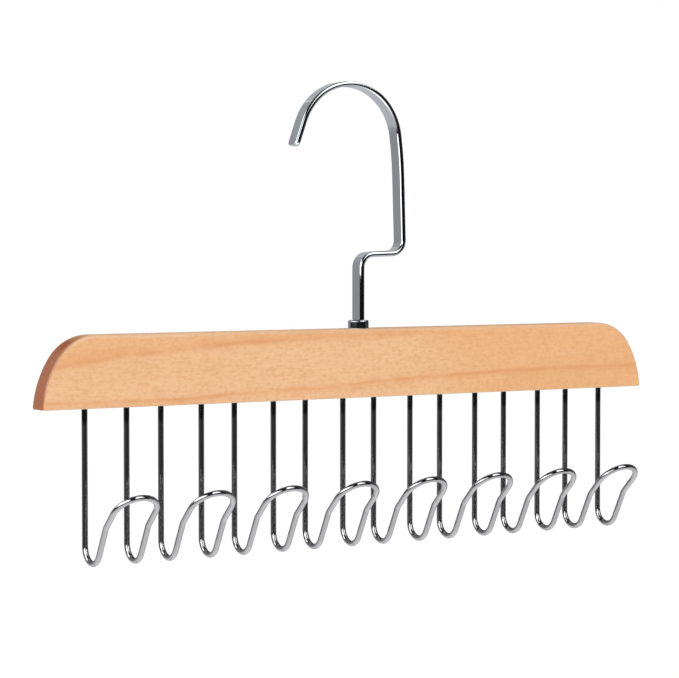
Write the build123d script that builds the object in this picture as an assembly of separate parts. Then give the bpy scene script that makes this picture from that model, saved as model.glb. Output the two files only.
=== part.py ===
from build123d import *
from math import cos, radians, sin, tan
import os

# Tie hanger: a wooden bar that swivels under a flat chrome hook and carries
# a row of double wire hooks. Millimetres and degrees. The origin is the centre
# of the hook's crown. X runs along the bar, Y to its back and Z up.

# Flat hook: one bent strip with rounded edges
strip_width = 9.2
strip_thickness = 3.0
strip_edge_radius = 1.0
rod_seat_radius = 28.8
crown_start_angle = 6.4
crown_sweep_angle = 152.0
shoulder_radius = 200.0
upright_lean_angle = 1.7
tip_length = 13.9
tip_corner_radius = 2.4
jog_offset = 26.4
jog_bend_radius = 7.0
jog_height = 38.8
bar_drop = 98.2

# Wooden bar
bar_length = 371.8
bar_height = 36.5
bar_thickness = 12.0
bar_arris_radius = 1.5
bar_bottom_arris_radius = 0.8
end_lower_radius = 53.0
end_lean_angle = 4.0
end_break_angle = 33.0

# Swivel between the hook and the bar
shank_diameter = 5.0
running_clearance = 0.05
end_play = 0.2
strip_standoff = 0.3
shank_hole_clearance = 0.4
ferrule_diameter = 11.0
ferrule_height = 4.3
ferrule_chamfer = 0.5
ferrule_sleeve_diameter = 8.0
ferrule_sleeve_length = 10.0
washer_diameter = 8.0
washer_thickness = 1.0
rivet_head_diameter = 7.0
rivet_head_height = 1.8
rivet_head_chamfer = 0.6
pocket_depth = 12.0
press_clearance = 0.02

# Double wire hooks
loop_count = 8
loop_end_margin = 25.5
loop_leg_spacing = 23.2
loop_drop = 76.4
wire_diameter = 3.0
wire_end_chamfer = 0.4
socket_depth = 20.0
trough_radius = 8.25
arm_lean_angle = 27.7
arm_length = 15.8
kink_radius = 6.1
lip_lean_angle = 46.0
lip_length = 9.9

# Places that follow from the sizes above
bar_top_z = -bar_drop
bar_bottom_z = bar_top_z - bar_height
crown_radius = rod_seat_radius + strip_thickness / 2
shoulder_inset = crown_radius - shoulder_radius
lean = radians(upright_lean_angle)
crown_start = lean + radians(crown_start_angle)
upright_x = shoulder_inset * cos(crown_start) + shoulder_radius * cos(lean)
upright_top_z = shoulder_inset * sin(crown_start) + shoulder_radius * sin(lean)
jog_z = bar_top_z + jog_height
jog_corner_z = jog_z + jog_offset * tan(lean)
jog_corner_x = upright_x + (upright_top_z - jog_corner_z) * tan(lean)
stem_x = jog_corner_x - jog_offset
ferrule_top_z = bar_top_z + ferrule_height
strip_foot_z = ferrule_top_z + strip_standoff
sleeve_foot_z = bar_top_z - ferrule_sleeve_length
pocket_top_z = bar_bottom_z + pocket_depth
washer_foot_z = pocket_top_z - washer_thickness
rivet_head_top_z = washer_foot_z - end_play
rivet_head_foot_z = rivet_head_top_z - rivet_head_height
shank_bore_diameter = shank_diameter + 2 * running_clearance
shank_hole_diameter = shank_diameter + 2 * shank_hole_clearance
sleeve_seat_diameter = ferrule_sleeve_diameter + 2 * press_clearance
pocket_diameter = washer_diameter + 2 * press_clearance
socket_diameter = wire_diameter + 2 * press_clearance
socket_top_z = bar_bottom_z + socket_depth
trough_z = bar_bottom_z - loop_drop + trough_radius
loop_pitch = (bar_length - 2 * loop_end_margin - loop_leg_spacing) / (loop_count - 1)
loop_places = [stem_x + (index - (loop_count - 1) / 2) * loop_pitch for index in range(loop_count)]


def save(shape, node):
    """Write one piece under its own name."""
    shape.label = node
    export_step(shape, f"parts/{node}.step")


def post(diameter, low_z, high_z, place_x=stem_x):
    """Upright cylinder between two heights, on the swivel axis by default."""
    foot = Plane(origin=(place_x, 0, low_z))
    return extrude(foot * Circle(diameter / 2), high_z - low_z)


def hook_line():
    """Centreline of the strip: stem, jog, upright, shoulder, crown and tip."""
    with BuildLine(Plane.XZ) as line:
        corners = [(stem_x, strip_foot_z), (stem_x, jog_z)]
        corners += [(jog_corner_x, jog_corner_z), (upright_x, upright_top_z)]
        upright = FilletPolyline(corners, radius=jog_bend_radius)
        shoulder = JernArc(upright @ 1, upright % 1, shoulder_radius, crown_start_angle)
        crown = JernArc(shoulder @ 1, shoulder % 1, crown_radius, crown_sweep_angle)
        Line(crown @ 1, crown @ 1 + (crown % 1) * tip_length)
    return line.wire()


def tip_notches(line):
    """What is cut off the tip so that its two broad corners are round."""
    tip = Plane(origin=line @ 1, x_dir=(0, 1, 0), z_dir=Vector(0, 1, 0).cross(line % 1))
    square_end = Pos(0, -tip_corner_radius / 2) * Rectangle(strip_width, tip_corner_radius)
    round_end = Pos(0, -tip_length / 2) * RectangleRounded(strip_width, tip_length, tip_corner_radius)
    return extrude(tip * (square_end - round_end), strip_thickness, both=True)


def swivel_hook():
    """Bent strip whose foot carries a round shank with a riveted head."""
    line = hook_line()
    foot = Plane(origin=line @ 0, x_dir=(0, 1, 0), z_dir=line % 0)
    section = foot * RectangleRounded(strip_width, strip_thickness, strip_edge_radius)
    strip = sweep(section, path=line) - tip_notches(line)
    shank = post(shank_diameter, rivet_head_top_z, strip_foot_z)
    head = post(rivet_head_diameter, rivet_head_foot_z, rivet_head_top_z)
    head = chamfer(head.edges().group_by(Axis.Z)[0], rivet_head_chamfer)
    return strip + shank + head


def swivel_ferrule():
    """Flanged bush in the top of the bar, in which the shank turns."""
    flange = post(ferrule_diameter, bar_top_z, ferrule_top_z)
    flange = chamfer(flange.edges().group_by(Axis.Z)[-1], ferrule_chamfer)
    sleeve = post(ferrule_sleeve_diameter, sleeve_foot_z, bar_top_z)
    return flange + sleeve - post(shank_bore_diameter, sleeve_foot_z, ferrule_top_z)


def swivel_washer():
    """Ring under the wood that the riveted head of the shank bears on."""
    ring = post(washer_diameter, washer_foot_z, pocket_top_z)
    return ring - post(shank_bore_diameter, washer_foot_z, pocket_top_z)


def bar_outline():
    """Front outline: flat foot, ends of two tangent arcs each and a flat top."""
    rise = end_lower_radius * (sin(radians(end_break_angle)) - sin(radians(end_lean_angle)))
    end_upper_radius = (bar_height - rise) / (1 - sin(radians(end_break_angle)))
    lower_turn = end_break_angle - end_lean_angle
    upper_turn = 90 - end_break_angle
    rising = (sin(radians(end_lean_angle)), cos(radians(end_lean_angle)))
    with BuildLine(Plane.XZ) as outline:
        foot = Line((stem_x - bar_length / 2, bar_bottom_z), (stem_x + bar_length / 2, bar_bottom_z))
        right_lower = JernArc(foot @ 1, (-rising[0], rising[1]), end_lower_radius, lower_turn)
        right_upper = JernArc(right_lower @ 1, right_lower % 1, end_upper_radius, upper_turn)
        left_lower = JernArc(foot @ 0, rising, end_lower_radius, -lower_turn)
        left_upper = JernArc(left_lower @ 1, left_lower % 1, end_upper_radius, -upper_turn)
        Line(right_upper @ 1, left_upper @ 1)
    return make_face(outline.edges())


def wood_bar():
    """Flat bar with rounded arrises, drilled for the swivel and for the wires."""
    bar = extrude(bar_outline(), bar_thickness / 2, both=True)
    rims = bar.faces().filter_by(Axis.Y).edges()
    bar = fillet(rims - rims.group_by(Axis.Z)[0], bar_arris_radius)
    bar = fillet(bar.faces().sort_by(Axis.Z)[0].edges(), bar_bottom_arris_radius)
    bar -= post(shank_hole_diameter, bar_bottom_z, bar_top_z)
    bar -= post(sleeve_seat_diameter, sleeve_foot_z, bar_top_z)
    bar -= post(pocket_diameter, bar_bottom_z, pocket_top_z)
    for place in loop_places:
        for side in (-1, 1):
            leg_x = place + side * loop_leg_spacing / 2
            bar -= post(socket_diameter, bar_bottom_z, socket_top_z, leg_x)
    return bar


def loop_line():
    """Centreline of one double hook, whose two sides mirror each other."""
    with BuildLine(Plane.YZ.offset(-loop_leg_spacing / 2)) as side:
        leg = Line((0, socket_top_z), (0, trough_z))
        trough = JernArc(leg @ 1, leg % 1, trough_radius, arm_lean_angle - 180)
        arm = Line(trough @ 1, trough @ 1 + (trough % 1) * arm_length)
        kink = JernArc(arm @ 1, arm % 1, kink_radius, lip_lean_angle - arm_lean_angle)
        lip = Line(kink @ 1, kink @ 1 + (kink % 1) * lip_length)
    lip_plane = Plane(origin=lip @ 1, x_dir=(1, 0, 0), z_dir=Vector(1, 0, 0).cross(lip % 1))
    with BuildLine(lip_plane) as arch:
        JernArc(lip @ 1, lip % 1, loop_leg_spacing / 2, -180)
    other_side = mirror(side.line, about=Plane.YZ)
    return Wire(side.edges() + arch.edges() + other_side.edges())


def wire_hook():
    """One wire bent into two side-by-side hooks that join in an arch."""
    line = loop_line()
    start = Plane(origin=line @ 0, z_dir=line % 0)
    wire = sweep(start * Circle(wire_diameter / 2), path=line)
    return chamfer(wire.faces().group_by(Axis.Z)[-1].edges(), wire_end_chamfer)


os.makedirs("parts", exist_ok=True)
save(wood_bar(), "wood_bar")
save(swivel_hook(), "swivel_hook")
save(swivel_ferrule(), "swivel_ferrule")
save(swivel_washer(), "swivel_washer")
double_hook = wire_hook()
for number, place in enumerate(loop_places, start=1):
    save(Pos(place, 0, 0) * double_hook, f"wire_hook_{number}")
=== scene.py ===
import bmesh
import bpy
import numpy as np
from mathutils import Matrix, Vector


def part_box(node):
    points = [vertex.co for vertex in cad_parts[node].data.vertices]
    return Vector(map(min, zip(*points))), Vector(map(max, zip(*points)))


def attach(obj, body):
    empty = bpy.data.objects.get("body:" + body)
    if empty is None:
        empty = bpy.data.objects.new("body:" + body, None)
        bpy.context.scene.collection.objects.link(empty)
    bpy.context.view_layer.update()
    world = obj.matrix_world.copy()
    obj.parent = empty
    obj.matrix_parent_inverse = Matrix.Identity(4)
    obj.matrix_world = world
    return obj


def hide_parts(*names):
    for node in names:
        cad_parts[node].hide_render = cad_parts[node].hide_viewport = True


# Tie hanger: a lacquered maple bar that swivels under a flat chrome hook and
# carries eight double hooks of chrome wire. Every piece takes its place from
# the frame. Sizes are in metres, and those written with mm in millimetres.

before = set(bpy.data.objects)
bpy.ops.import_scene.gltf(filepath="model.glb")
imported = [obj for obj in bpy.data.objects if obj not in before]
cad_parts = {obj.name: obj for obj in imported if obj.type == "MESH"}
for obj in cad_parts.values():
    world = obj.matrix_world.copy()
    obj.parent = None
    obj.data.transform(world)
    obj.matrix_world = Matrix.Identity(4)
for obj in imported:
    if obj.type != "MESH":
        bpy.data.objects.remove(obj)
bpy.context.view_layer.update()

mm = 0.001

# Flat hook
strip_thickness = 3.0 * mm
strip_rolled_thickness = 2.8 * mm
strip_edge_radius = 1.2 * mm
rod_seat_radius = 28.8 * mm
crown_start_angle = 6.4
crown_sweep_angle = 152.0
upright_lean_angle = 1.7
shoulder_radius = 200.0 * mm
tip_length = 13.9 * mm
tip_corner_radius = 2.4 * mm
tip_end_rounding = 0.5 * mm
widest_edge_share = 0.9
jog_offset = 26.4 * mm
jog_bend_radius = 7.0 * mm
jog_height = 38.8 * mm
strip_standoff = 0.3 * mm

# Swivel
shank_diameter = 5.0 * mm
running_clearance = 0.05 * mm
shank_hole_clearance = 0.4 * mm
ferrule_height = 4.3 * mm
ferrule_sleeve_diameter = 8.0 * mm
ferrule_rim_radius = 0.8 * mm
rivet_head_height = 1.8 * mm
rivet_head_rounding = 0.6 * mm
rivet_flare = 1.0 * mm
small_rounding = 0.15 * mm

# Wooden bar
bar_length = 371.8 * mm
end_lower_radius = 53.0 * mm
end_lean_angle = 4.0
end_break_angle = 33.0
foot_corner_radius = 1.0 * mm
arris_radius = 0.8 * mm
top_arris_radius = 1.9 * mm
hole_overrun = 2.0 * mm

# Double wire hooks
loop_count = 8
trough_radius = 8.25 * mm
arm_lean_angle = 27.7
arm_length = 15.8 * mm
kink_radius = 6.1 * mm
lip_lean_angle = 46.0
lip_length = 9.9 * mm
wire_end_rounding = 0.4 * mm

# Rings that round a wire's end: shares of the rounding down the leg and inwards
wire_end_depths = (0.0, 0.25, 1.0)
wire_end_insets = (1.0, 0.34, 0.0)

# How finely the surfaces are cut
arc_step = 3.0
corner_steps = 6
flat_steps = 4
tip_run_points = 4
tip_corner_points = 16
wire_sides = 32
turned_sides = 96
run_step = 10.0 * mm

# Shading: edges up to these angles look smooth, and large faces weigh this much in it
smooth_angle = 30.0
hook_smooth_angle = 40.0
wire_smooth_angle = 50.0
flat_face_weight = 100

# Patterns: waves per metre along X, Y and Z, how many finer waves there are and how strong
cloud_pattern = ((60, 60, 60), 3.0, 0.5)
hairline_pattern = ((900, 900, 120), 2.0, 0.6)
slow_pattern = ((150, 150, 150), 1.0, 0.5)
drift_pattern = ((14, 30, 30), 3.0, 0.5)
broken_pattern = ((45, 60, 120), 3.0, 0.6)
tone_pattern = ((10, 40, 45), 3.0, 0.5)
fibre_pattern = ((90, 1300, 1300), 3.0, 0.7)
mottle_pattern = ((420, 620, 620), 3.0, 0.6, (3, 1, 2))
pore_pattern = ((200, 1600, 1600), 3.0, 0.6)
floor_pattern = ((3, 3, 3), 2.0, 0.5)

# Wear of the metals: what part of a pattern shows, and each metal's own share of it
cloud_range = (0.35, 0.7)
hairline_range = (0.45, 0.75)
film_roughness = 0.5
wear_relief = 0.05 * mm
hook_wear = {"Film": 0.05, "Polish": 0.03, "Haze": 0.005, "Waviness": 0.04}
wire_wear = {"Film": 0.05, "Polish": 0.06, "Haze": 0.02, "Waviness": 0.08}
ferrule_wear = {"Film": 0.1, "Polish": 0.1, "Haze": 0.05, "Waviness": 0.1}
washer_wear = {"Film": 0.2, "Polish": 0.3, "Haze": 0.15, "Waviness": 0.2}

# Wood: what part of a pattern shows, and how strongly
tone_contrast = 2.2
fibre_range = (0.42, 0.74)
fibre_strength = 0.36
mottle_range = (0.42, 0.68)
mottle_strength = 0.4
pore_range = (0.42, 0.7)
end_grain_range = (0.1, 0.6)
# Painted sheen: how far the arrises are lightened towards a pale pinkish grey, standing in for the pale
# surroundings mirrored in their lacquer
painted_sheen_strength = 0.4
wood_roughness = 0.42
fibre_roughness = 0.15
fibre_relief = 0.04 * mm
fibre_relief_strength = 0.3
lacquer_weight = 0.5
lacquer_roughness = 0.12

# Growth lines, in plain millimetres along the bar from the stem and over the bar's foot. A
# line is a narrow and a wide part, each with its offset, width and darkness. A line's dim or
# fade and a warm part give two places and the strength at each.
low_line_middle = 7.6
low_line_swing = 5.2
low_line_reach = 105.0
low_line_parts = ((0.0, 0.9, 0.75), (-1.0, 2.4, 0.35))
low_line_dim = (-60.0, 130.0, 0.85, 1.0)
high_line_middle = 34.0
high_line_drop = 13.0
high_line_start = -175.0
high_line_reach = 75.0
high_line_parts = ((0.0, 1.3, 0.5), (1.0, 3.6, 0.42))
high_line_fade = (20.0, 75.0, 1.0, 0.0)
line_wander = 4.0
line_slant = 0.45
broken_range = (0.35, 0.62)
broken_least = 0.5
broken_more = 0.6
faint_line_turn = 2.2
faint_line_range = (0.2, 1.0)
faint_line_strength = 0.12
warm_over_line = (-2.0, 3.0, 0.0, 0.7)
warm_right_end = (25.0, 100.0, 0.0, 1.0)

# Camera and its aim, from where the photograph was taken
camera_azimuth = -31.93
camera_elevation = 2.46
camera_distance = 1.267
camera_focal_length = 127.5
aim_left_of_stem = 11.7 * mm
aim_above_bar_foot = 31.0 * mm

# Floor
floor_depth = 1.6
floor_width = 60.0
floor_roughness = 0.9

# Light on the wood: an even part and one that grows towards a direction
daylight_way = (0.3, -0.8, 0.52)
daylight_even = 0.95
daylight_slope = 0.30

# What the metal mirrors: walls all round and the floor. Turns, from the camera round to its
# right, and tilts are in degrees. A wall changes its light between a pair of them, and an
# edge fades over its soft to both sides.
dark_wall = 0.008
back_wall_left = -98.0
back_wall_left_soft = 3.0
back_wall_right = 84.0
back_wall_right_soft = 8.0
left_back_tilts = (6.0, 20.0)
left_back_light = 0.26
left_top_light = 0.20
far_back_turns = (-142.0, -156.0)
far_back_light = 0.62
right_back_turns = (150.0, 164.0)
right_side_light = 0.06
right_back_light = 0.25
low_wall_turns = (45.0, 110.0)
low_wall_light = 0.045
low_side_light = 0.22
low_wall_top = -3.0
low_wall_soft = 0.7
ceiling_foot = 66.0
ceiling_soft = 4.0
ceiling_light = 0.06
floor_edge = -19.0
floor_edge_soft = 4.0
floor_light = 0.75
left_floor_edge = -14.0
left_floor_light = 0.70
near_floor_edge = -58.0
near_floor_soft = 5.0
near_floor_light = 0.95
mirrored_blue = 1.02

# Softboxes and dark cards: from which turn to which, and from which tilt to which. The back
# card hangs on both sides.
patch_soft = 3.0
softbox_light = 2.2
softboxes = [
    ((-62.0, 3.0), (7.0, 30.0)),
    ((26.0, 65.0), (20.0, 72.0)),
]
back_card = ((146.0, 180.0), (9.0, 52.0))
dark_card = ((48.0, 82.0), (-27.0, 3.0))

# Strip light: it stands on the side of this turn, its foot so far over the bar's top
strip_light_radiance = 2.5
strip_light_width = 0.54
strip_light_height = 0.24
strip_light_distance = 0.4
strip_light_turn = -54.0
strip_light_foot = 21.5 * mm

# Lamps that only the hook and the ferrule mirror: turns and tilts from the crown, and radiance
hook_lamp_distance = 2.0
hook_lamps = {
    "left_face_lamp": ((-146.0, -98.0), (-13.0, 7.0), 0.16),
    "left_rise_lamp": ((-146.0, -98.0), (7.0, 14.0), 0.20),
    "left_height_lamp": ((-146.0, -98.0), (14.0, 21.0), 0.26),
    "left_top_lamp": ((-146.0, -98.0), (21.0, 46.0), 0.31),
    "left_limb_lamp": ((-112.0, -60.0), (23.0, 42.0), 2.2),
    "crown_top_lamp": ((55.0, 150.0), (34.0, 66.0), 2.2),
    "level_run_lamp": ((57.0, 69.0), (9.0, 40.0), 2.2),
    "far_back_lamp": ((-182.0, -146.0), (4.0, 38.0), 0.62),
    "right_limb_lamp": ((-45.0, 60.0), (-78.0, -39.0), 1.4),
}


def colour(red, green, blue):
    """An sRGB colour of 0 to 255 as a linear one."""
    values = np.array([red, green, blue]) / 255
    linear = np.where(values <= 0.04045, values / 12.92, ((values + 0.055) / 1.055) ** 2.4)
    return (*linear.tolist(), 1.0)


# Colours
maple_pale = colour(240, 191, 145)
maple_warm = colour(236, 179, 123)
maple_streak = colour(227, 160, 104)
maple_fibre = colour(222, 158, 104)
# Painted sheen: the pale pinkish grey of the surroundings mirrored in the lacquer on the arrises
painted_arris_sheen = colour(212, 186, 162)
maple_end = colour(184, 104, 54)
maple_end_pore = colour(150, 78, 38)
chrome = colour(198, 202, 207)
plated_wire = colour(201, 201, 203)
ferrule_nickel = colour(180, 182, 186)
plain_steel = colour(190, 188, 184)
floor_pale = colour(250, 250, 250)
floor_paler = colour(253, 253, 252)
backdrop_white = colour(255, 255, 255)

# Places that the frame gives
hook_low, hook_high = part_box("swivel_hook")
bar_low, bar_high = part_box("wood_bar")
ferrule_low, ferrule_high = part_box("swivel_ferrule")
washer_low, washer_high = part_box("swivel_washer")
stem_x = (ferrule_low.x + ferrule_high.x) / 2
bar_top_z = bar_high.z
bar_bottom_z = bar_low.z
bar_height = bar_top_z - bar_bottom_z
bar_thickness = bar_high.y - bar_low.y
strip_width = hook_high.y - hook_low.y
rivet_foot_z = hook_low.z
washer_foot_z = washer_low.z
pocket_top_z = washer_high.z
washer_radius = (washer_high.x - washer_low.x) / 2
ferrule_radius = (ferrule_high.x - ferrule_low.x) / 2


def arc_steps(turn):
    """How many steps an arc of that many degrees is cut into."""
    return max(2, int(np.ceil(abs(turn) / arc_step)))


def bent_line(start, heading, moves):
    """Centreline of straight runs and tangent arcs in one plane. A move is a run with its
    length and steps, or an arc with its radius and the degrees that it turns.

    A run of length l goes from P to P + l (cos h, sin h), with h the heading. An arc of
    radius r that turns by a has its centre at C = P + s r (-sin h, cos h), with s the sign
    of a, and its points are C + s r (sin k, -cos k) while the heading k goes from h to h + a.
    Gives the points and the heading at each."""
    points = [np.array([start], float)]
    headings = [np.array([np.radians(heading)])]
    for kind, size, amount in moves:
        here = points[-1][-1]
        now = headings[-1][-1]
        if kind == "run":
            steps = np.linspace(0, size, amount + 1)[1:, None]
            points.append(here + steps * np.array([np.cos(now), np.sin(now)]))
            headings.append(np.full(len(steps), now))
        else:
            side = np.sign(amount)
            angles = now + np.radians(amount) * np.linspace(0, 1, arc_steps(amount) + 1)[1:]
            centre = here + side * size * np.array([-np.sin(now), np.cos(now)])
            points.append(centre + side * size * np.stack([np.sin(angles), -np.cos(angles)], 1))
            headings.append(angles)
    return np.concatenate(points), np.concatenate(headings)


def grid_faces(rings, sides):
    """Quads of a grid whose rings close on themselves, between ring i and i + 1 and between
    side j and j + 1, the last side meeting the first."""
    ring = np.arange(rings - 1)[:, None] * sides
    side = np.arange(sides)
    after = (side + 1) % sides
    quads = [ring + side, ring + after, ring + sides + after, ring + sides + side]
    corners = [np.broadcast_to(corner, (rings - 1, sides)) for corner in quads]
    return np.stack(corners, 2).reshape(-1, 4)


def make_piece(name, points, quads, caps=(), smooth_below=smooth_angle):
    """A mesh object from points, quads and end faces, with its faces turned outwards."""
    mesh = bpy.data.meshes.new(name)
    faces = quads.tolist() + [list(map(int, cap)) for cap in caps]
    mesh.from_pydata(points.reshape(-1, 3), [], faces)
    mesh.validate()
    piece = bpy.data.objects.new(name, mesh)
    bpy.context.collection.objects.link(piece)
    finish_mesh(piece, smooth_below)
    return piece


def finish_mesh(piece, smooth_below):
    """Faces outwards, and smooth shading up to an angle."""
    work = bmesh.new()
    work.from_mesh(piece.data)
    bmesh.ops.recalc_face_normals(work, faces=work.faces)
    work.to_mesh(piece.data)
    work.free()
    piece.data.shade_smooth()
    piece.data.set_sharp_from_angle(angle=np.radians(smooth_below))


def weigh_normals(piece):
    """Large flat faces keep their direction, and the small roundings beside them turn smoothly."""
    weigh = piece.modifiers.new("flat faces", "WEIGHTED_NORMAL")
    weigh.keep_sharp = True
    weigh.weight = flat_face_weight


def tube(name, rings, smooth_below=smooth_angle):
    """A closed skin over a stack of rings, with an end face at its first and last ring."""
    count, sides = rings.shape[:2]
    ends = [np.arange(sides)[::-1], np.arange(sides) + (count - 1) * sides]
    return make_piece(name, rings, grid_faces(count, sides), ends, smooth_below)


def turned(name, profile, centre_x, closed):
    """A profile of (radius, height) turned about the upright line at centre_x. A closed one
    makes a ring, and an open one gets an end face at each end.

    The point at height z and angle a is (centre_x + r cos a, r sin a, z)."""
    angles = np.linspace(0, 2 * np.pi, turned_sides, endpoint=False)
    if closed:
        profile = np.concatenate([profile, profile[:1]])
    radius, height = profile[:, 0, None], profile[:, 1, None]
    rings = np.stack([centre_x + radius * np.cos(angles), radius * np.sin(angles),
                      height + 0 * angles], 2)
    if not closed:
        return tube(name, rings)
    quads = grid_faces(len(profile), turned_sides)
    rings = rings[:-1]
    return make_piece(name, rings, quads % (rings.shape[0] * turned_sides))


def rounded_corner(corner, before, after, radius):
    """Quarter round in the corner of a profile, between its directions before and after.

    With B before, A after and r the radius, its centre is C = corner - r B + r A, and its
    points are C + r (B sin t - A cos t), with t from 0 to 90 degrees."""
    turn = np.linspace(0, np.pi / 2, corner_steps + 1)[:, None]
    before, after = np.array(before, float), np.array(after, float)
    centre = np.array(corner, float) - radius * before + radius * after
    return centre + radius * (before * np.sin(turn) - after * np.cos(turn))


# Flat hook


def strip_section(half_width, half_thickness, radius):
    """Rounded rectangle for each ring, as (across, thick) pairs.

    A corner at (a - r, b - r) adds r (cos t, sin t) as t goes through its quarter, and
    the flats between the corners are cut evenly."""
    quarter = np.linspace(0, np.pi / 2, corner_steps + 1)
    angles = np.arange(4)[:, None] * np.pi / 2 + quarter
    sides = np.array([(1, 1), (-1, 1), (-1, -1), (1, -1)])
    inner = np.stack([half_width - radius, half_thickness - radius], 1)
    around = np.stack([np.cos(angles), np.sin(angles)], 2)
    corners = (inner[:, None] * sides)[:, :, None] + radius[:, None, None, None] * around
    after = np.roll(corners[:, :, :1], -1, axis=1)
    shares = np.linspace(0, 1, flat_steps + 1)[1:-1, None]
    flats = corners[:, :, -1:] + shares * (after - corners[:, :, -1:])
    return np.concatenate([corners, flats], 2).reshape(len(radius), -1, 2)


def hook_line():
    """Centreline of the strip from foot to tip, the heading at each point and how far the end
    still is, held at the tip's length before the tip."""
    crown_radius = rod_seat_radius + strip_thickness / 2
    inset = crown_radius - shoulder_radius
    lean = np.radians(upright_lean_angle)
    start = lean + np.radians(crown_start_angle)
    top_z = inset * np.sin(start) + shoulder_radius * np.sin(lean)
    foot_z = bar_top_z + ferrule_height + strip_standoff
    jog_z = bar_top_z + jog_height
    corner_z = jog_z + jog_offset * np.tan(lean)
    lower_cut = jog_bend_radius * np.tan((np.pi / 2 - lean) / 2)
    upper_cut = jog_bend_radius
    line, heading = bent_line((stem_x, foot_z), 90, [
        ("run", jog_z - lower_cut - foot_z, 2),
        ("arc", jog_bend_radius, upright_lean_angle - 90),
        ("run", jog_offset / np.cos(lean) - lower_cut - upper_cut, 2),
        ("arc", jog_bend_radius, 90),
        ("run", (top_z - corner_z) / np.cos(lean) - upper_cut, 4),
        ("arc", shoulder_radius, crown_start_angle),
        ("arc", crown_radius, crown_sweep_angle),
    ])
    tip_run = np.linspace(tip_length, tip_corner_radius, tip_run_points)[1:-1]
    tip_corner = tip_corner_radius * (1 - np.cos(np.linspace(np.pi / 2, 0, tip_corner_points)))
    to_end = np.concatenate([tip_run, tip_corner])
    ahead = np.array([np.cos(heading[-1]), np.sin(heading[-1])])
    tip = line[-1] + (tip_length - to_end)[:, None] * ahead
    distance = np.concatenate([np.full(len(line), tip_length), to_end])
    heading = np.concatenate([heading, np.full(len(tip), heading[-1])])
    return np.concatenate([line, tip]), heading, distance


def strip_rings():
    """Rings of the bent strip, foot to tip.

    The skin is P(u) + w(u, v) Y + t(u, v) N(u), with P the bent centreline, N its normal in
    the plane of the bends and (w, t) a rounded rectangle. Near the tip, at a distance d from
    the end, the half width is W/2 - r + sqrt(r r - (r - d)(r - d)), and both halves are drawn
    in by e - sqrt(e e - (e - d)(e - d)), with e the rounding of the tip's rim."""
    line, heading, distance = hook_line()
    near = np.minimum(distance, tip_corner_radius)
    half_width = (strip_width / 2 - tip_corner_radius
                  + np.sqrt(tip_corner_radius ** 2 - (tip_corner_radius - near) ** 2))
    rim = np.minimum(distance, tip_end_rounding)
    pull = tip_end_rounding - np.sqrt(tip_end_rounding ** 2 - (tip_end_rounding - rim) ** 2)
    half_thickness = strip_rolled_thickness / 2 - pull
    radius = np.minimum(strip_edge_radius, half_thickness * widest_edge_share)
    section = strip_section(half_width - pull, half_thickness, radius)
    normal = np.stack([-np.sin(heading), np.cos(heading)], 1)
    across, thick = section[..., 0], section[..., 1]
    return np.stack([line[:, None, 0] + thick * normal[:, None, 0], across,
                     line[:, None, 1] + thick * normal[:, None, 1]], 2)


def shank_rings(around):
    """Rings of the riveted head and the round shank, foot to ferrule top, as a turned profile
    whose points stand at the angles around the stem."""
    shank_radius = shank_diameter / 2
    head_radius = shank_radius + rivet_flare
    head_top_z = rivet_foot_z + rivet_head_height
    turn = np.linspace(0, np.pi / 2, corner_steps)
    shank = np.array([(shank_radius, bar_top_z + ferrule_height), (shank_radius, head_top_z)])
    head = np.stack([head_radius - rivet_head_rounding * (1 - np.cos(turn)),
                     rivet_foot_z + rivet_head_rounding * (1 - np.sin(turn))], 1)
    profile = np.concatenate([shank, [(head_radius, head_top_z)], head])[::-1]
    return np.stack([stem_x + profile[:, :1] * np.cos(around), profile[:, :1] * np.sin(around),
                     profile[:, 1:] + 0 * around], 2)


def swivel_hook_piece():
    """Bent strip whose foot goes on as the round shank with its riveted head."""
    strip = strip_rings()
    around = np.arctan2(strip[0, :, 1], strip[0, :, 0] - stem_x)
    rings = np.concatenate([shank_rings(around), strip])
    piece = tube("flat_hook", rings, smooth_below=hook_smooth_angle)
    weigh_normals(piece)
    return piece


# Swivel


def ferrule_piece():
    """Flanged collar: a closed profile of rounded corners turned about the shank."""
    bore = shank_diameter / 2 + running_clearance
    sleeve = ferrule_sleeve_diameter / 2
    foot = ferrule_low.z
    top = bar_top_z + ferrule_height
    profile = np.concatenate([
        rounded_corner((ferrule_radius, bar_top_z), (1, 0), (0, 1), small_rounding),
        rounded_corner((ferrule_radius, top), (0, 1), (-1, 0), ferrule_rim_radius),
        rounded_corner((bore, top), (-1, 0), (0, -1), small_rounding),
        rounded_corner((bore, foot), (0, -1), (1, 0), small_rounding),
        rounded_corner((sleeve, foot), (1, 0), (0, 1), small_rounding),
        [(sleeve, bar_top_z)],
    ])
    piece = turned("ferrule", profile, stem_x, True)
    weigh_normals(piece)
    return piece


def washer_piece():
    """Flat ring with broken edges, turned about the shank."""
    bore = shank_diameter / 2 + running_clearance
    profile = np.concatenate([
        rounded_corner((washer_radius, washer_foot_z), (1, 0), (0, 1), small_rounding),
        rounded_corner((washer_radius, pocket_top_z), (0, 1), (-1, 0), small_rounding),
        rounded_corner((bore, pocket_top_z), (-1, 0), (0, -1), small_rounding),
        rounded_corner((bore, washer_foot_z), (0, -1), (1, 0), small_rounding),
    ])
    piece = turned("washer", profile, stem_x, True)
    weigh_normals(piece)
    return piece


# Wooden bar


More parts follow.
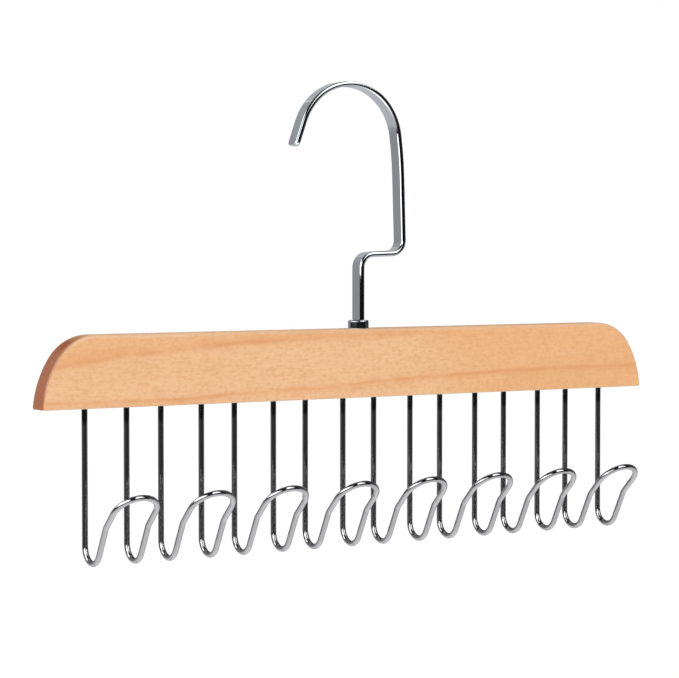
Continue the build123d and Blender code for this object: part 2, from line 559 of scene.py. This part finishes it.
def bar_outline():
    """Front outline of the bar and the direction outwards at each of its points.

    Each end is an arc of the lower radius and an upper arc tangent to it and to the top.
    A small arc of radius c rounds the foot: it touches the lower arc of radius R, which
    leans by l at the foot, where the lean is asin((c + R sin l) / (R - c))."""
    lean, break_at = np.radians(end_lean_angle), np.radians(end_break_angle)
    rise = end_lower_radius * (np.sin(break_at) - np.sin(lean))
    end_upper_radius = (bar_height - rise) / (1 - np.sin(break_at))
    touch = np.arcsin((foot_corner_radius + end_lower_radius * np.sin(lean))
                      / (end_lower_radius - foot_corner_radius))
    foot_half = (bar_length / 2 - end_lower_radius * np.cos(lean)
                 + (end_lower_radius - foot_corner_radius) * np.cos(touch))
    touch_angle = np.degrees(touch)
    runs = int(np.ceil(foot_half / run_step))
    right, heading = bent_line((0, bar_bottom_z), 0, [
        ("run", foot_half, runs),
        ("arc", foot_corner_radius, 90 + touch_angle),
        ("arc", end_lower_radius, end_break_angle - touch_angle),
        ("arc", end_upper_radius, 90 - end_break_angle),
    ])
    top_shares = np.linspace(0, 1, runs + 1)[1:, None]
    top = right[-1] * (1 - top_shares) + np.array([0, right[-1][1]]) * top_shares
    right = np.concatenate([right, top])
    heading = np.concatenate([heading, np.full(len(top), np.pi)])
    left = right[-2:0:-1] * np.array([-1, 1])
    points = np.concatenate([right, left])
    outward = np.stack([np.sin(heading), -np.cos(heading)], 1)
    outward = np.concatenate([outward, outward[-2:0:-1] * np.array([-1, 1])])
    return points + np.array([stem_x, 0]), outward


def keep_value(piece, name, values):
    """Keeps a number at each point of a piece, which its material reads."""
    stored = piece.data.attributes.new(name, "FLOAT", "POINT")
    stored.data.foreach_set("value", values.astype(np.float32).ravel())


def wood_bar_piece():
    """Slab whose outline is drawn in towards both faces by a quarter round.

    At an outline point P with outward direction N, the skin is P - r (1 - cos k) N at the
    depth D/2 - r (1 - sin k), with k from 0 to 90 degrees and r the arris radius there. The
    radius grows with the square of how far N looks up. End grain is |N x| cos k, and the
    painted sheen of the arris is |N z| 2 sin k cos k. The wood isn't mirrored in the metal."""
    outline, outward = bar_outline()
    looks_up = np.clip(outward[:, 1], 0, 1) ** 2
    radius = arris_radius + (top_arris_radius - arris_radius) * looks_up
    turn = np.linspace(0, np.pi / 2, corner_steps + 1)[:, None]
    drawn_in = radius * (1 - np.cos(turn))
    depth = bar_thickness / 2 - radius * (1 - np.sin(turn))
    drawn_in = np.concatenate([drawn_in[::-1], drawn_in])
    depth = np.concatenate([-depth[::-1], depth])
    rings = np.stack([outline[:, 0] - drawn_in * outward[:, 0], depth,
                      outline[:, 1] - drawn_in * outward[:, 1]], 2)
    piece = tube("wood_bar_body", rings)
    facing = np.concatenate([np.cos(turn)[::-1], np.cos(turn)])
    keep_value(piece, "end_grain", np.abs(outward[:, 0]) * facing)
    # Painted sheen: the arris is lightened most halfway round its quarter and where the outline faces up
    # or down
    arris_sheen_share = 2 * np.sin(turn) * np.cos(turn)
    arris_sheen_share = np.concatenate([arris_sheen_share[::-1], arris_sheen_share])
    keep_value(piece, "arris", arris_sheen_share * np.abs(outward[:, 1]))
    drill(piece)
    weigh_normals(piece)
    piece.visible_glossy = False
    return piece


def drill(piece):
    """Cuts the swivel's stepped hole and the sockets of the wire legs into the bar."""
    hole_radius = shank_diameter / 2 + shank_hole_clearance
    sleeve_radius = ferrule_sleeve_diameter / 2
    stepped = np.array([
        (washer_radius, bar_bottom_z - hole_overrun), (washer_radius, pocket_top_z),
        (hole_radius, pocket_top_z), (hole_radius, ferrule_low.z),
        (sleeve_radius, ferrule_low.z), (sleeve_radius, bar_top_z + hole_overrun),
    ])
    cutters = [turned("swivel_hole", stepped, stem_x, False)]
    for number in range(1, loop_count + 1):
        low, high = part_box(f"wire_hook_{number}")
        leg_radius = high.y
        for leg_x in (low.x + leg_radius, high.x - leg_radius):
            socket = np.array([(leg_radius, bar_bottom_z - hole_overrun), (leg_radius, high.z)])
            cutters.append(turned("socket", socket, leg_x, False))
    for cutter in cutters:
        cut = piece.modifiers.new("hole", "BOOLEAN")
        cut.operation = "DIFFERENCE"
        cut.solver = "EXACT"
        cut.object = cutter
    seen = piece.evaluated_get(bpy.context.evaluated_depsgraph_get())
    drilled = bpy.data.meshes.new_from_object(seen)
    piece.modifiers.clear()
    piece.data = drilled
    for cutter in cutters:
        bpy.data.objects.remove(cutter)
    finish_mesh(piece, smooth_angle)


# Double wire hooks


def wire_side(low, high):
    """One side of a wire hook between the corners of its box: leg, trough, arm, kink and lip.

    Gives its points as (forward, up), the heading at each, and the share of the wire's radius
    that its ring has. At the leg's end the rings close up and are drawn in to round it."""
    radius = high.y
    trough_z = low.z + radius + trough_radius
    side, heading = bent_line((0, high.z), -90, [
        ("run", high.z - trough_z, 3),
        ("arc", trough_radius, arm_lean_angle - 180),
        ("run", arm_length, 1),
        ("arc", kink_radius, lip_lean_angle - arm_lean_angle),
        ("run", lip_length, 1),
    ])
    end_rings = len(wire_end_depths)
    end_z = high.z - wire_end_rounding * np.array(wire_end_depths)
    side = np.concatenate([np.stack([np.zeros(end_rings), end_z], 1), side[1:]])
    heading = np.concatenate([np.full(end_rings, heading[0]), heading[1:]])
    shares = np.ones(len(side))
    shares[:end_rings] = 1 - wire_end_rounding / radius * np.array(wire_end_insets)
    return side, heading, shares


def wire_hook_piece(number):
    """One wire of round section: one side, the arch and the same side back again, mirrored.

    A ring is P + r (cos v A + sin v B), with A along X on the first side, turning with the
    arch to look back on the other, and B square to it and to the wire. On the arch, of radius
    R about C, P is C - R (cos s X - sin s L), with L the lip's direction and s the turn."""
    low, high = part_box(f"wire_hook_{number}")
    radius = high.y
    half_spacing = (high.x - low.x) / 2 - radius
    centre_x = (high.x + low.x) / 2
    side, heading, shares = wire_side(low, high)
    along = np.stack([0 * heading, np.cos(heading), np.sin(heading)], 1)
    leg = np.stack([np.full(len(side), -half_spacing), side[:, 0], side[:, 1]], 1)
    lip_way = along[-1]
    sweep = np.linspace(0, np.pi, arc_steps(180) + 1)[1:-1, None]
    arch_centre = leg[-1] + np.array([half_spacing, 0, 0])
    inward = np.cos(sweep) * np.array([1, 0, 0]) - np.sin(sweep) * lip_way
    arch = arch_centre - half_spacing * inward
    arch_along = np.sin(sweep) * np.array([1, 0, 0]) + np.cos(sweep) * lip_way
    mirrored = np.array([-1, 1, 1])
    points = np.concatenate([leg, arch, leg[::-1] * mirrored])
    tangents = np.concatenate([along, arch_along, -along[::-1]])
    first = np.concatenate([np.tile([1.0, 0, 0], (len(leg), 1)), inward,
                            np.tile([-1.0, 0, 0], (len(leg), 1))])
    second = np.cross(tangents, first)
    size = radius * np.concatenate([shares, np.ones(len(arch)), shares[::-1]])[:, None, None]
    angles = np.linspace(0, 2 * np.pi, wire_sides, endpoint=False)[None, :, None]
    rings = points[:, None] + size * (np.cos(angles) * first[:, None] + np.sin(angles) * second[:, None])
    rings = rings + np.array([centre_x, 0, 0])
    return tube(f"wire_double_hook_{number}", rings, smooth_below=wire_smooth_angle)


# Node helpers


def add_node(tree, kind, inputs=(), **settings):
    """A node with its settings and inputs. An input is a value or another node's output."""
    node = tree.nodes.new(kind)
    for key, value in settings.items():
        setattr(node, key, value)
    for socket, value in dict(inputs).items():
        if isinstance(value, bpy.types.NodeSocket):
            tree.links.new(value, node.inputs[socket])
        else:
            node.inputs[socket].default_value = value
    return node


def calc(tree, operation, *values, clamp=False):
    """A number worked out from others."""
    node = add_node(tree, "ShaderNodeMath", enumerate(values), operation=operation, use_clamp=clamp)
    return node.outputs[0]


def ramp(tree, value, start, end, first=0.0, last=1.0):
    """A value that goes smoothly from first to last between start and end, and is held there."""
    settings = {"Value": value, "From Min": start, "From Max": end, "To Min": first, "To Max": last}
    return add_node(tree, "ShaderNodeMapRange", settings, interpolation_type="SMOOTHSTEP").outputs[0]


def edge_at(tree, value, edge, soft):
    """0 below an edge and 1 above it, or the other way round where soft is negative."""
    return ramp(tree, value, edge - soft, edge + soft)


def zone(tree, value, start, end, soft):
    """1 between start and end, 0 outside, with soft sides."""
    rise = edge_at(tree, value, start, soft)
    fall = ramp(tree, value, end - soft, end + soft, 1.0, 0.0)
    return calc(tree, "MULTIPLY", rise, fall)


def blend_values(tree, share, first, second):
    """The first value where the share is 0 and the second where it is 1."""
    given = {0: share, 2: first, 3: second}
    return add_node(tree, "ShaderNodeMix", given, data_type="FLOAT").outputs[0]


def blend_colours(tree, share, first, second, mode="MIX"):
    """The first colour where the share is 0 and the second, mixed in by the mode, where it is 1."""
    given = {0: share, 6: first, 7: second}
    return add_node(tree, "ShaderNodeMix", given, data_type="RGBA", blend_type=mode).outputs[2]


def noise(tree, waves, detail, roughness, move=(0, 0, 0)):
    """Cloudy noise with so many waves per metre along each axis, moved by some waves."""
    place = add_node(tree, "ShaderNodeTexCoord").outputs["Object"]
    settings = {"Vector": place, "Location": move, "Scale": waves}
    stretched = add_node(tree, "ShaderNodeMapping", settings).outputs[0]
    settings = {"Vector": stretched, "Scale": 1.0, "Detail": detail, "Roughness": roughness}
    return add_node(tree, "ShaderNodeTexNoise", settings).outputs[0]


def new_group(name, inputs, outputs):
    """An empty node group with named inputs (name, kind, value) and outputs (name, kind)."""
    group = bpy.data.node_groups.new(name, "ShaderNodeTree")
    for label, kind, value in inputs:
        socket = group.interface.new_socket(label, in_out="INPUT", socket_type=kind)
        socket.default_value = value
    for label, kind in outputs:
        group.interface.new_socket(label, in_out="OUTPUT", socket_type=kind)
    return group, group.nodes.new("NodeGroupInput"), group.nodes.new("NodeGroupOutput")


def place_group(tree, group, **values):
    """A copy of a group in a material, with its own values."""
    node = tree.nodes.new("ShaderNodeGroup")
    node.node_tree = group
    for key, value in values.items():
        node.inputs[key].default_value = value
    return node


def new_material(name):
    """An empty material with its shader."""
    material = bpy.data.materials.new(name)
    material.use_nodes = True
    tree = material.node_tree
    tree.nodes.clear()
    shader = tree.nodes.new("ShaderNodeBsdfPrincipled")
    output = tree.nodes.new("ShaderNodeOutputMaterial")
    tree.links.new(shader.outputs[0], output.inputs[0])
    return material, tree, shader


# Finishes


def metal_wear_group():
    """Handling marks that every metal here has: cloudy film, hairlines and slow waviness."""
    group, given, result = new_group("metal wear", [
        ("Colour", "NodeSocketColor", (0.6, 0.6, 0.6, 1)),
        ("Film", "NodeSocketFloat", 0.05),
        ("Polish", "NodeSocketFloat", 0.08),
        ("Haze", "NodeSocketFloat", 0.05),
        ("Waviness", "NodeSocketFloat", 0.1),
    ], [
        ("Colour", "NodeSocketColor"),
        ("Roughness", "NodeSocketFloat"),
        ("Normal", "NodeSocketVector"),
    ])
    cloud = ramp(group, noise(group, *cloud_pattern), *cloud_range)
    hairline = ramp(group, noise(group, *hairline_pattern), *hairline_range)
    film = calc(group, "MULTIPLY", cloud, given.outputs["Film"])
    darker = calc(group, "SUBTRACT", 1.0, film)
    grey = add_node(group, "ShaderNodeCombineColor", {0: darker, 1: darker, 2: darker}).outputs[0]
    tinted = blend_colours(group, 1.0, given.outputs["Colour"], grey, "MULTIPLY")
    haze = calc(group, "MULTIPLY", hairline, given.outputs["Haze"])
    rough = calc(group, "ADD", given.outputs["Polish"], haze)
    rough = calc(group, "ADD", rough, calc(group, "MULTIPLY", film, film_roughness))
    slow = noise(group, *slow_pattern)
    relief = {"Strength": given.outputs["Waviness"], "Distance": wear_relief, "Height": slow}
    bump = add_node(group, "ShaderNodeBump", relief)
    for socket, value in (("Colour", tinted), ("Roughness", rough), ("Normal", bump.outputs[0])):
        group.links.new(value, result.inputs[socket])
    return group


def metal_finish(name, group, base, **values):
    """A plated or plain metal with its own colour, polish and wear."""
    material, tree, shader = new_material(name)
    worn = place_group(tree, group, Colour=base, **values)
    shader.inputs["Metallic"].default_value = 1.0
    for socket, output in (("Base Color", "Colour"), ("Roughness", "Roughness"), ("Normal", "Normal")):
        tree.links.new(worn.outputs[output], shader.inputs[socket])
    return material


def grain_line(tree, height, middle, parts):
    """How dark the wood is beside a growth line: its parts' darkness d exp(-((h - m) / w)^2)
    added up, with h the height and m the middle of a part of width w."""
    darkness = 0.0
    for offset, width, strength in parts:
        away = calc(tree, "SUBTRACT", height, calc(tree, "ADD", middle, offset))
        away = calc(tree, "DIVIDE", away, width)
        fall = calc(tree, "MULTIPLY", calc(tree, "MULTIPLY", away, away), -1.0)
        part = calc(tree, "MULTIPLY", calc(tree, "EXPONENT", fall), strength)
        darkness = calc(tree, "ADD", darkness, part)
    return darkness


def growth_lines(tree):
    """Darkness of the growth lines along the bar, and how warm the wood between them is.

    The lines are heights over the bar's foot, in mm, as functions of the way x along the bar:
    a low one, m + a tanh(x / l), that darkens to the right, and a high one,
    m - a exp(-(x - s) / l), that fades out past the middle. The wood over the high line and
    at the right end is warmer."""
    place = add_node(tree, "ShaderNodeTexCoord").outputs["Object"]
    in_mm = {"Vector": place, "Scale": (1 / mm, 1 / mm, 1 / mm),
             "Location": (-stem_x / mm, bar_thickness / 2 / mm, -bar_bottom_z / mm)}
    centred = add_node(tree, "ShaderNodeMapping", in_mm).outputs[0]
    along, through, height = add_node(tree, "ShaderNodeSeparateXYZ", {0: centred}).outputs
    drift = calc(tree, "SUBTRACT", noise(tree, *drift_pattern), 0.5)
    wander = calc(tree, "MULTIPLY", drift, line_wander)
    slant = calc(tree, "MULTIPLY", through, line_slant)
    height = calc(tree, "ADD", height, calc(tree, "ADD", wander, slant))
    swing = calc(tree, "TANH", calc(tree, "DIVIDE", along, low_line_reach))
    low_line = calc(tree, "ADD", low_line_middle, calc(tree, "MULTIPLY", low_line_swing, swing))
    past_start = calc(tree, "SUBTRACT", along, high_line_start)
    drop = calc(tree, "EXPONENT", calc(tree, "DIVIDE", past_start, -high_line_reach))
    drop = calc(tree, "MULTIPLY", high_line_drop, drop)
    high_line = calc(tree, "SUBTRACT", high_line_middle, drop)
    low = grain_line(tree, height, low_line, low_line_parts)
    low = calc(tree, "MULTIPLY", low, ramp(tree, along, *low_line_dim))
    high = grain_line(tree, height, high_line, high_line_parts)
    to_left = ramp(tree, along, *high_line_fade)
    high = calc(tree, "MULTIPLY", high, to_left)
    broken = ramp(tree, noise(tree, *broken_pattern), *broken_range)
    strength = calc(tree, "ADD", broken_least, calc(tree, "MULTIPLY", broken, broken_more))
    dark = calc(tree, "MULTIPLY", calc(tree, "ADD", low, high), strength)
    over_low = calc(tree, "SUBTRACT", height, low_line)
    faint = calc(tree, "SINE", calc(tree, "MULTIPLY", over_low, faint_line_turn))
    faint = calc(tree, "MULTIPLY", ramp(tree, faint, *faint_line_range), broken)
    faint = calc(tree, "MULTIPLY", faint, faint_line_strength)
    over_high = ramp(tree, calc(tree, "SUBTRACT", height, high_line), *warm_over_line)
    over_high = calc(tree, "MULTIPLY", over_high, to_left)
    warm = calc(tree, "MAXIMUM", ramp(tree, along, *warm_right_end), over_high)
    return calc(tree, "ADD", dark, faint, clamp=True), warm


def maple_finish():
    """Honey maple under satin lacquer: pale and warm wood, soft growth lines, fine orange
    fibres and a faint mottle, denser end grain at both ends, and a painted pale sheen on the arrises."""
    material, tree, shader = new_material("lacquered maple")
    dark, warm = growth_lines(tree)
    tone = calc(tree, "SUBTRACT", noise(tree, *tone_pattern), 0.5)
    shift = calc(tree, "MULTIPLY", tone, tone_contrast)
    body = blend_colours(tree, calc(tree, "ADD", warm, shift, clamp=True), maple_pale, maple_warm)
    face = blend_colours(tree, dark, body, maple_streak)
    fibre = noise(tree, *fibre_pattern)
    mottle = noise(tree, *mottle_pattern)
    fibres = calc(tree, "MULTIPLY", ramp(tree, fibre, *fibre_range), fibre_strength)
    specks = calc(tree, "MULTIPLY", ramp(tree, mottle, *mottle_range), mottle_strength)
    face = blend_colours(tree, calc(tree, "ADD", fibres, specks), face, maple_fibre)
    pores = ramp(tree, noise(tree, *pore_pattern), *pore_range)
    end = blend_colours(tree, pores, maple_end, maple_end_pore)
    end_share = add_node(tree, "ShaderNodeAttribute", (), attribute_name="end_grain").outputs["Fac"]
    wood = blend_colours(tree, ramp(tree, end_share, *end_grain_range), face, end)
    # Painted sheen: the arrises are blended towards a pale pinkish grey that stands in for the
    # surroundings mirrored in their lacquer
    arris = add_node(tree, "ShaderNodeAttribute", (), attribute_name="arris").outputs["Fac"]
    wood = blend_colours(tree, calc(tree, "MULTIPLY", arris, painted_sheen_strength), wood, painted_arris_sheen)
    tree.links.new(wood, shader.inputs["Base Color"])
    rough = calc(tree, "ADD", wood_roughness, calc(tree, "MULTIPLY", fibre, fibre_roughness))
    tree.links.new(rough, shader.inputs["Roughness"])
    relief = {"Strength": fibre_relief_strength, "Distance": fibre_relief, "Height": fibre}
    bump = add_node(tree, "ShaderNodeBump", relief)
    tree.links.new(bump.outputs[0], shader.inputs["Normal"])
    shader.inputs["Coat Weight"].default_value = lacquer_weight
    shader.inputs["Coat Roughness"].default_value = lacquer_roughness
    return material


def floor_finish():
    """Matt pale floor with a faint unevenness."""
    material, tree, shader = new_material("pale floor")
    pale = blend_colours(tree, noise(tree, *floor_pattern), floor_pale, floor_paler)
    tree.links.new(pale, shader.inputs["Base Color"])
    shader.inputs["Roughness"].default_value = floor_roughness
    shader.inputs["Specular IOR Level"].default_value = 0.0
    return material


# Studio


def make_floor():
    """Wide pale floor well under the hanger."""
    half = floor_width / 2
    corners = np.array([(-half, -half, 0), (half, -half, 0), (half, half, 0), (-half, half, 0)], float)
    corners[:, 2] = bar_bottom_z - floor_depth
    mesh = bpy.data.meshes.new("floor")
    mesh.from_pydata(corners, [], [(0, 1, 2, 3)])
    floor = bpy.data.objects.new("floor", mesh)
    bpy.context.collection.objects.link(floor)
    mesh.materials.append(floor_finish())
    floor.visible_glossy = False


def patch_at(tree, turn, tilt, sides, heights):
    """1 inside a patch that spans two turns and two tilts."""
    across = zone(tree, turn, *sides, patch_soft)
    return calc(tree, "MULTIPLY", across, zone(tree, tilt, *heights, patch_soft))


def part_along(tree, direction):
    """How far the direction looked along agrees with another, from -1 to 1."""
    way = add_node(tree, "ShaderNodeTexCoord").outputs["Generated"]
    both = {0: way, 1: direction}
    return add_node(tree, "ShaderNodeVectorMath", both, operation="DOT_PRODUCT").outputs["Value"]


def mirrored_light(tree, turn, tilt):
    """What the metal mirrors: grey back walls left and right of a dark front, a lighter low
    wall, a ceiling, the softboxes, the floor from its edge down, and the dark cards."""
    to_front = edge_at(tree, turn, back_wall_left, back_wall_left_soft)
    left_back = ramp(tree, tilt, *left_back_tilts, left_back_light, left_top_light)
    level = blend_values(tree, to_front, left_back, dark_wall)
    level = blend_values(tree, ramp(tree, turn, *far_back_turns), level, far_back_light)
    right_back = ramp(tree, turn, *right_back_turns, right_side_light, right_back_light)
    to_right = edge_at(tree, turn, back_wall_right, back_wall_right_soft)
    level = blend_values(tree, to_right, level, right_back)
    beside = calc(tree, "ABSOLUTE", turn)
    low_wall = ramp(tree, beside, *low_wall_turns, low_wall_light, low_side_light)
    below = calc(tree, "MULTIPLY", to_front, edge_at(tree, tilt, low_wall_top, -low_wall_soft))
    level = blend_values(tree, below, level, low_wall)
    overhead = edge_at(tree, tilt, ceiling_foot, ceiling_soft)
    level = blend_values(tree, overhead, level, ceiling_light)
    for sides, heights in softboxes:
        level = blend_values(tree, patch_at(tree, turn, tilt, sides, heights), level, softbox_light)
    floor = blend_values(tree, to_front, left_floor_light, floor_light)
    near = edge_at(tree, tilt, near_floor_edge, -near_floor_soft)
    floor = blend_values(tree, near, floor, near_floor_light)
    edge = blend_values(tree, to_front, left_floor_edge, floor_edge)
    under = ramp(tree, calc(tree, "SUBTRACT", tilt, edge), floor_edge_soft, -floor_edge_soft)
    level = blend_values(tree, under, level, floor)
    level = blend_values(tree, patch_at(tree, turn, tilt, *dark_card), level, dark_wall)
    return blend_values(tree, patch_at(tree, beside, tilt, *back_card), level, dark_wall)


def make_studio():
    """White surroundings for the camera, soft daylight for the wood and a map of what the
    metal mirrors, all as functions of direction. A turn is counted from the camera round to
    its right, and a tilt from level upwards, both in degrees."""
    world = bpy.data.worlds.new("studio")
    bpy.context.scene.world = world
    world.use_nodes = True
    tree = world.node_tree
    tree.nodes.clear()
    azimuth = np.radians(camera_azimuth)
    toward = (float(np.sin(azimuth)), float(-np.cos(azimuth)), 0.0)
    right = (float(np.cos(azimuth)), float(np.sin(azimuth)), 0.0)
    turn = calc(tree, "ARCTAN2", part_along(tree, right), part_along(tree, toward))
    turn = calc(tree, "MULTIPLY", turn, 180 / np.pi)
    tilt = calc(tree, "ARCSINE", part_along(tree, (0.0, 0.0, 1.0)))
    tilt = calc(tree, "MULTIPLY", tilt, 180 / np.pi)
    level = mirrored_light(tree, turn, tilt)
    blue = calc(tree, "MULTIPLY", level, mirrored_blue)
    mirrored = add_node(tree, "ShaderNodeCombineColor", {0: level, 1: level, 2: blue}).outputs[0]
    sloped = calc(tree, "MULTIPLY", part_along(tree, daylight_way), daylight_slope)
    day = calc(tree, "ADD", sloped, daylight_even)
    daylight = add_node(tree, "ShaderNodeCombineColor", {0: day, 1: day, 2: day}).outputs[0]
    path = add_node(tree, "ShaderNodeLightPath")
    seen = blend_colours(tree, path.outputs["Is Glossy Ray"], daylight, mirrored)
    seen = blend_colours(tree, path.outputs["Is Camera Ray"], seen, backdrop_white)
    back = add_node(tree, "ShaderNodeBackground", {"Color": seen})
    output = tree.nodes.new("ShaderNodeOutputWorld")
    tree.links.new(back.outputs[0], output.inputs[0])


def make_lamp(name, width, height, radiance, place, away):
    """Rectangular lamp at a place, which shines back against away. Only polish mirrors it."""
    data = bpy.data.lights.new(name, "AREA")
    data.shape = "RECTANGLE"
    data.size = width
    data.size_y = height
    data.energy = radiance * np.pi * width * height
    lamp = bpy.data.objects.new(name, data)
    bpy.context.collection.objects.link(lamp)
    lamp.location = place
    lamp.rotation_euler = away.to_track_quat("Z", "Y").to_euler()
    lamp.visible_camera = False
    lamp.visible_diffuse = False
    return lamp


def make_strip_light():
    """Low strip light to the camera's left. Its foot is as high as makes its bright line on
    the stem's edge end a little under the jog."""
    angle = np.radians(camera_azimuth + strip_light_turn)
    away = Vector((np.sin(angle), -np.cos(angle), 0.0))
    middle_z = bar_top_z + strip_light_foot + strip_light_height / 2
    place = Vector((stem_x, 0.0, middle_z)) + away * strip_light_distance
    make_lamp("strip_light", strip_light_width, strip_light_height, strip_light_radiance, place, away)


def make_hook_lamps(pieces):
    """Softboxes for the flat hook and the ferrule alone. Each is a rectangle square to the
    middle of its turns and tilts, as wide and high as they are at its distance."""
    only = bpy.data.collections.new("lit by hook lamps")
    for piece in pieces:
        only.objects.link(piece)
    for name, (turns, tilts, radiance) in hook_lamps.items():
        angle = np.radians(camera_azimuth + np.mean(turns))
        tilt = np.radians(np.mean(tilts))
        half_turn, half_tilt = np.radians(np.ptp(turns) / 2), np.radians(np.ptp(tilts) / 2)
        width = 2 * hook_lamp_distance * np.tan(half_turn * np.cos(tilt))
        height = 2 * hook_lamp_distance * np.tan(half_tilt)
        away = Vector((np.sin(angle) * np.cos(tilt), -np.cos(angle) * np.cos(tilt), np.sin(tilt)))
        lamp = make_lamp(name, width, height, radiance, away * hook_lamp_distance, away)
        lamp.light_linking.receiver_collection = only


def make_camera():
    """Camera to the left of the bar's front and a little above it."""
    data = bpy.data.cameras.new("camera")
    data.lens = camera_focal_length
    camera = bpy.data.objects.new("camera", data)
    bpy.context.collection.objects.link(camera)
    azimuth, elevation = np.radians(camera_azimuth), np.radians(camera_elevation)
    back = Vector((np.sin(azimuth) * np.cos(elevation), -np.cos(azimuth) * np.cos(elevation),
                   np.sin(elevation)))
    aim = Vector((stem_x - aim_left_of_stem, 0, bar_bottom_z + aim_above_bar_foot))
    camera.location = aim + back * camera_distance
    camera.rotation_euler = (-back).to_track_quat("-Z", "Y").to_euler()
    bpy.context.scene.camera = camera


def fit(piece, node, body, material):
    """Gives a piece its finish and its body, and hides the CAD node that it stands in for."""
    piece.data.materials.clear()
    piece.data.materials.append(material)
    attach(piece, body)
    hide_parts(node)


wear = metal_wear_group()
hook_chrome = metal_finish("hook chrome", wear, chrome, **hook_wear)
wire_chrome = metal_finish("wire chrome", wear, plated_wire, **wire_wear)
nickel = metal_finish("ferrule nickel", wear, ferrule_nickel, **ferrule_wear)
steel = metal_finish("zinc steel", wear, plain_steel, **washer_wear)

fit(wood_bar_piece(), "wood_bar", "bar", maple_finish())
flat_hook = swivel_hook_piece()
fit(flat_hook, "swivel_hook", "hook", hook_chrome)
ferrule = ferrule_piece()
fit(ferrule, "swivel_ferrule", "bar", nickel)
fit(washer_piece(), "swivel_washer", "bar", steel)
for number in range(1, loop_count + 1):
    fit(wire_hook_piece(number), f"wire_hook_{number}", "bar", wire_chrome)

make_floor()
make_studio()
make_strip_light()
make_hook_lamps((flat_hook, ferrule))
make_camera()
bpy.context.scene.view_settings.view_transform = "Standard"
